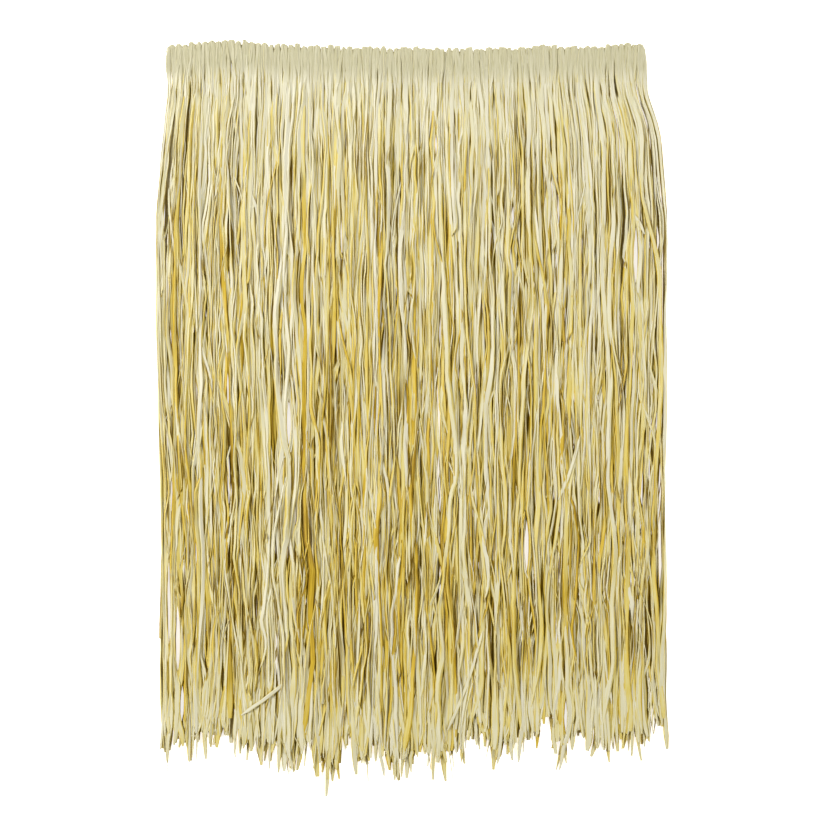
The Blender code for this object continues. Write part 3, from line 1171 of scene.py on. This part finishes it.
@dataclass
class WaistCord:
    """Two raffia strands twisted into a cord, in one ring inside the folds of both headings."""

    outline: LaidOutline
    clearance: float = 6.0 * MM
    ply_radius: float = 0.7 * MM
    lay_length: float = 9.0 * MM
    step: float = 1.8 * MM
    sides: int = 7
    turn_steps: int = 5
    evened_over: int = 4
    ply_tones: tuple[float, float] = (0.35, 0.45)

    def ring(self) -> Floats:
        """The cord's middle line: along the front heading, round the side, and back along the other."""
        outline = self.outline
        front, back = (outline.fold_height[half] for half in (Half.FRONT, Half.BACK))
        reach = (front - back) / 2
        run = np.linspace(outline.left_end + reach, outline.right_end - reach, outline.loops)
        depth = np.array([outline.top(x) for x in run]) - self.clearance
        around = 2 * self.evened_over + 1
        depth = np.pad(depth, self.evened_over, mode="edge")
        depth = np.convolve(depth, np.full(around, 1 / around), mode="valid")
        points = [(x, y, front) for x, y in zip(run, depth)]
        for way, end in ((1, -1), (-1, 0)):
            for turn in np.linspace(0.0, math.pi, self.turn_steps + 2)[1:-1]:
                bow = run[end] + way * reach * math.sin(turn)
                points.append((bow, depth[end], back + reach + way * reach * math.cos(turn)))
            if way > 0:
                points += [(x, y, back) for x, y in zip(run[::-1], depth[::-1])]
        return np.array(points)

    def build(self, material: bpy.types.Material) -> bpy.types.Object:
        """Build both plies as closed rings of quads in one mesh."""
        corner = self.ring()
        gaps = np.linalg.norm(np.roll(corner, -1, axis=0) - corner, axis=1)
        place = np.concatenate([[0.0], np.cumsum(gaps)])
        count = int(place[-1] / self.step)
        along = np.arange(count) * place[-1] / count
        closed = np.vstack([corner, corner[:1]])
        line = np.stack([np.interp(along, place, closed[:, axis]) for axis in range(3)], axis=1)
        forward = np.roll(line, -1, axis=0) - np.roll(line, 1, axis=0)
        forward /= np.linalg.norm(forward, axis=1, keepdims=True)
        first = np.cross(forward, [0.0, 1.0, 0.0])
        first /= np.linalg.norm(first, axis=1, keepdims=True)
        second = np.cross(forward, first)
        twist = 2 * math.pi * along / place[-1] * round(place[-1] / self.lay_length)

        rings, tones = [], []
        round_ply = np.linspace(0.0, 2 * math.pi, self.sides, endpoint=False)
        for start, tone in zip((0.0, math.pi), self.ply_tones):
            turn = (twist + start)[:, None]
            middle = line + self.ply_radius * (np.cos(turn) * first + np.sin(turn) * second)
            cos, sin = np.cos(round_ply)[None, :, None], np.sin(round_ply)[None, :, None]
            skin = middle[:, None] + self.ply_radius * (cos * first[:, None] + sin * second[:, None])
            rings.append(skin.reshape(-1, 3))
            tones.append(np.full(count * self.sides, tone))
        ring, side = np.meshgrid(np.arange(count), np.arange(self.sides), indexing="ij")
        ahead, beside = (ring + 1) % count, (side + 1) % self.sides
        here, ahead = ring * self.sides, ahead * self.sides
        quads = np.stack([here + side, here + beside, ahead + beside, ahead + side], axis=-1).reshape(-1, 4)
        quads = np.concatenate([quads, quads + count * self.sides])
        mesh = bpy.data.meshes.new("waist_cord_twisted")
        mesh.from_pydata(np.concatenate(rings).tolist(), [], quads.tolist())
        mesh.shade_smooth()
        add_layer(mesh, "tone", tones)
        mesh.materials.append(material)
        piece = put_in_scene("waist_cord_twisted", mesh)
        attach(piece, BODY)
        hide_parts("waist_cord")
        return piece


# ------------ the skirt


@dataclass
class GrassSkirt:
    """The whole skirt: headings, plies of fringe, stray strands and the waist cord."""

    outline: LaidOutline
    finish: RaffiaFinish = RaffiaFinish()
    strand_length: float = 0.80

    # Painted shade: front strands that lie deep in the pile get a yellower tone, where the gaps above them
    # are shaded.
    deep: Span = (2.4 * MM, 6.4 * MM)
    depth_shade_tint: float = 0.10 / MM
    depth_shade_drop: Span = (30 * MM, 60 * MM)
    depth_shade_left: Span = (30 * MM, 130 * MM)

    stray_step: float = 5.0 * MM
    stray_kinks: Waver = (16 * MM, 0.3 * MM)
    stray_taper: float = 9 * MM
    stray_blunt: float = 0.12
    stray_bend: float = 0.7
    stray_curls: Waver = (30 * MM, 0.07)
    stray_rolls: Waver = (40 * MM, 0.25)
    stray_thickness: float = 0.4 * MM
    stray_lift: float = 1.4 * MM
    stray_seed: int = 100
    stray_pattern: float = 60.0

    back_outer: PlyStyle = PlyStyle(
        per_loop=2.6,
        width=3.0 * MM,
        width_spread=0.30,
        tone=0.24,
        tone_spread=0.13,
        ring_step=14 * MM,
        clump_spacing=17 * MM,
        clump_pull=0.1,
        clump_sway=1.5 * MM,
        strays_off=0.3,
        sway=1.9 * MM,
        hem_short=10 * MM,
        hem_spread=16 * MM,
        seed=11,
    )
    # The inner plies' higher tones are partly painted shade, for the gaps between the outer strands where
    # they show.
    back_inner: PlyStyle = PlyStyle(
        per_loop=3.6,
        width=4.8 * MM,
        width_spread=0.20,
        tone=0.46,
        tone_spread=0.12,
        ring_step=16 * MM,
        clump_spacing=15 * MM,
        clump_pull=0.0,
        clump_sway=1.0 * MM,
        strays_off=0.2,
        sway=1.9 * MM,
        hem_short=12 * MM,
        hem_spread=16 * MM,
        seed=12,
    )
    front_inner: PlyStyle = PlyStyle(
        per_loop=2.4,
        width=3.2 * MM,
        width_spread=0.30,
        tone=0.27,
        tone_spread=0.12,
        ring_step=8.5 * MM,
        clump_spacing=16 * MM,
        clump_pull=0.2,
        clump_sway=2.0 * MM,
        strays_off=0.3,
        sway=2.8 * MM,
        hem_short=7 * MM,
        hem_spread=16 * MM,
        seed=13,
    )
    front_outer: PlyStyle = PlyStyle(
        per_loop=4.7,
        width=2.9 * MM,
        width_spread=0.36,
        tone=0.11,
        tone_spread=0.11,
        ring_step=7.4 * MM,
        clump_spacing=12 * MM,
        clump_pull=0.22,
        clump_sway=1.8 * MM,
        strays_off=0.5,
        sway=2.7 * MM,
        hem_short=10 * MM,
        hem_spread=14 * MM,
        seed=14,
    )

    def build(self) -> None:
        """Grow, lay and join every piece."""
        raffia = self.finish.build()
        pile = Pile(self.outline)
        plies = {}
        for name, style, half, outer in (
            ("back_outer", self.back_outer, Half.BACK, True),
            ("back_inner", self.back_inner, Half.BACK, False),
            ("front_inner", self.front_inner, Half.FRONT, False),
            ("front_outer", self.front_outer, Half.FRONT, True),
        ):
            plies[name] = Grower(self.outline, pile, style, half, outer).all_strands()
            log.info("%s: %d strands", name, len(plies[name]))
            log.info("pile %.1f mm, %.2f%% open", pile.heights.max() / MM, 100 * pile.open_share())

        headings = {"back": Sheaf("heading_back_loops"), "front": Sheaf("heading_front_loops")}
        fringes = {
            "back_outer": [Sheaf("fringe_back_outer")],
            "back_inner": [Sheaf("fringe_back_inner")],
            "front_inner": [Sheaf("fringe_front_inner")],
            "front_outer": [Sheaf(f"fringe_front_outer_{part}") for part in "abc"],
        }
        for name, strands in plies.items():
            for number, (strand, sewn) in enumerate(strands):
                if name.startswith("front"):
                    # Painted shade: a yellower tone where a front strand lies deep in the pile.
                    strand.tone = strand.tone + self.painted_depth_shade(strand, pile)
                headings[name.split("_")[0]].strands.append(strand.part(0, sewn + 1))
                sheaf = fringes[name][number % len(fringes[name])]
                sheaf.strands.append(strand.part(sewn, len(strand.path)))
        strays = Sheaf("stray_strands", [self.stray(stray, pile, i) for i, stray in enumerate(STRAYS)])

        sheaves = [*headings.values(), *(s for group in fringes.values() for s in group), strays]
        pieces = {}
        for sheaf in sheaves:
            # Only the pieces seen from above get the painted contact shade.
            seen_from_above = "back" not in sheaf.name
            piece = sheaf.build(raffia, pile if seen_from_above else None)
            pieces[sheaf.name] = piece
            log.info("%s: %d triangles", sheaf.name, self.triangles(piece))
        for side in ("back", "front"):
            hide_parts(f"heading_{side}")
            numbers = range(1, self.outline.locks + 1)
            outer = pieces["fringe_back_outer" if side == "back" else "fringe_front_outer_a"]
            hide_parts(*(f"fringe_{side}_{n:02d}" for n in numbers))
        cord = WaistCord(self.outline).build(raffia)
        log.info("waist cord: %d triangles", self.triangles(cord))

    def painted_depth_shade(self, strand: Strand, pile: Pile) -> Floats:
        """The painted shade at each ring: how much yellower a strand is for lying deep in the pile."""
        along = strand.path[:, 1]
        top, bottom = self.deep
        deep = np.clip(pile.depth(strand.path) - top, 0.0, bottom - top)
        deep *= smooth_step(along.max() - along, *self.depth_shade_drop)
        return self.depth_shade_tint * deep * smooth_step(along - along[-1], *self.depth_shade_left)

    def stray(self, stray: Stray, pile: Pile, number: int) -> Strand:
        """Lay one loose strand over the finished pile.

        Args:
            stray: Where it lies, its width and its tone.
            pile: The pile it lies on.
            number: Its number among the strays, for its own chance and pattern.

        Returns:
            The strand.
        """
        rng = np.random.default_rng(self.stray_seed + number)
        waist = self.outline.top(self.outline.middle)
        reach = math.hypot(stray.to_across - stray.from_across, stray.to_drop - stray.from_drop)
        share = np.linspace(0.0, 1.0, int(reach / self.stray_step) + 3)
        length = share * reach
        across = self.outline.middle + stray.from_across + (stray.to_across - stray.from_across) * share
        across = across + stray.bow * np.sin(math.pi * share) + crinkle(rng, length, *self.stray_kinks)
        along = waist - stray.from_drop - (stray.to_drop - stray.from_drop) * share
        from_end = np.minimum(share, 1 - share) * reach
        width = stray.width * np.clip(from_end / self.stray_taper, self.stray_blunt, 1.0) ** self.stray_bend
        curl = np.stack([wander(rng, length, *self.stray_curls) for _ in range(2)], axis=1)
        thick = np.full(len(share), self.stray_thickness)
        rest = pile.lay(across, along, width / 2, thick, lean=1.0)
        path = np.stack([across, along, rest + self.stray_lift], axis=1)
        roll = wander(rng, length, *self.stray_rolls)
        tone = np.full(len(share), stray.tone)
        pressed = np.zeros(len(share))
        return Strand(path, width, roll, curl, thick, tone, pressed, self.stray_pattern + number)

    @staticmethod
    def triangles(piece: bpy.types.Object) -> int:
        """How many triangles a piece has."""
        return sum(len(face.vertices) - 2 for face in piece.data.polygons)


# ------------ studio


@dataclass
class Studio:
    """The table, the soft lights and the camera that looks straight down."""

    table_size: float = 6.0
    view_width: float = 0.878
    lens: float = 90.0
    sensor: float = 36.0
    aim: tuple[float, float] = (0.6 * MM, 4.7 * MM)
    table_finish: TableFinish = TableFinish()
    light_place: tuple[float, float, float] = (2.8, 0.9, 1.9)
    light_size: float = 1.0
    key_power: float = 160.0
    fill_power: float = 101.0
    surround_colour: tuple[float, float, float, float] = (1.0, 0.95, 0.76, 1.0)
    surround_strength: float = 0.20

    def build(self) -> None:
        """Make the table, lights, world and camera."""
        self.table()
        self.lights()
        self.camera()
        bpy.context.scene.view_settings.view_transform = "Standard"

    def table(self) -> None:
        """A plain pale table top."""
        half = self.table_size / 2
        mesh = bpy.data.meshes.new("table_top")
        corners = [(-half, -half, 0.0), (half, -half, 0.0), (half, half, 0.0), (-half, half, 0.0)]
        mesh.from_pydata(corners, [], [(0, 1, 2, 3)])
        mesh.materials.append(self.table_finish.build())
        top = put_in_scene("table_top", mesh)

    def softbox(self, name: str, way: int, power: float) -> None:
        """One square soft light that faces the skirt's middle, from the left as way is -1, or the right."""
        data = bpy.data.lights.new(name, "AREA")
        data.shape = "SQUARE"
        data.size = self.light_size
        data.energy = power
        out, up, high = self.light_place
        lamp = put_in_scene(name, data)
        lamp.location = (way * out, up, high)
        lamp.rotation_euler = (-Vector(lamp.location)).to_track_quat("-Z", "Y").to_euler()

    def lights(self) -> None:
        """A large key from the waist's left, a weaker fill, and a dim warm surround."""
        self.softbox("left_light", -1, self.key_power)
        self.softbox("right_light", 1, self.fill_power)
        world = bpy.data.worlds.new("warm_surround")
        world.use_nodes = True
        background = world.node_tree.nodes["Background"].inputs
        background["Color"].default_value = self.surround_colour
        background["Strength"].default_value = self.surround_strength
        bpy.context.scene.world = world

    def camera(self) -> None:
        """A long lens that looks straight down, with the waist at the top of the picture."""
        data = bpy.data.cameras.new("camera")
        data.lens = self.lens
        data.sensor_width = self.sensor
        camera = put_in_scene("camera", data)
        away = self.view_width * self.lens / self.sensor
        camera.location = (*self.aim, away + cad_box[1].z)
        bpy.context.scene.camera = camera


def main() -> None:
    """Build the skirt and its studio."""
    logging.basicConfig(level=logging.INFO, format="%(name)s: %(message)s")
    outline = LaidOutline()
    log.info("outline: loops %.1f mm apart, sewn line at %.3f m", outline.pitch / MM, outline.sewn_line)
    GrassSkirt(outline).build()
    Studio().build()
    log.info("studio: table, lights and camera")


if __name__ == "__main__":
    main()
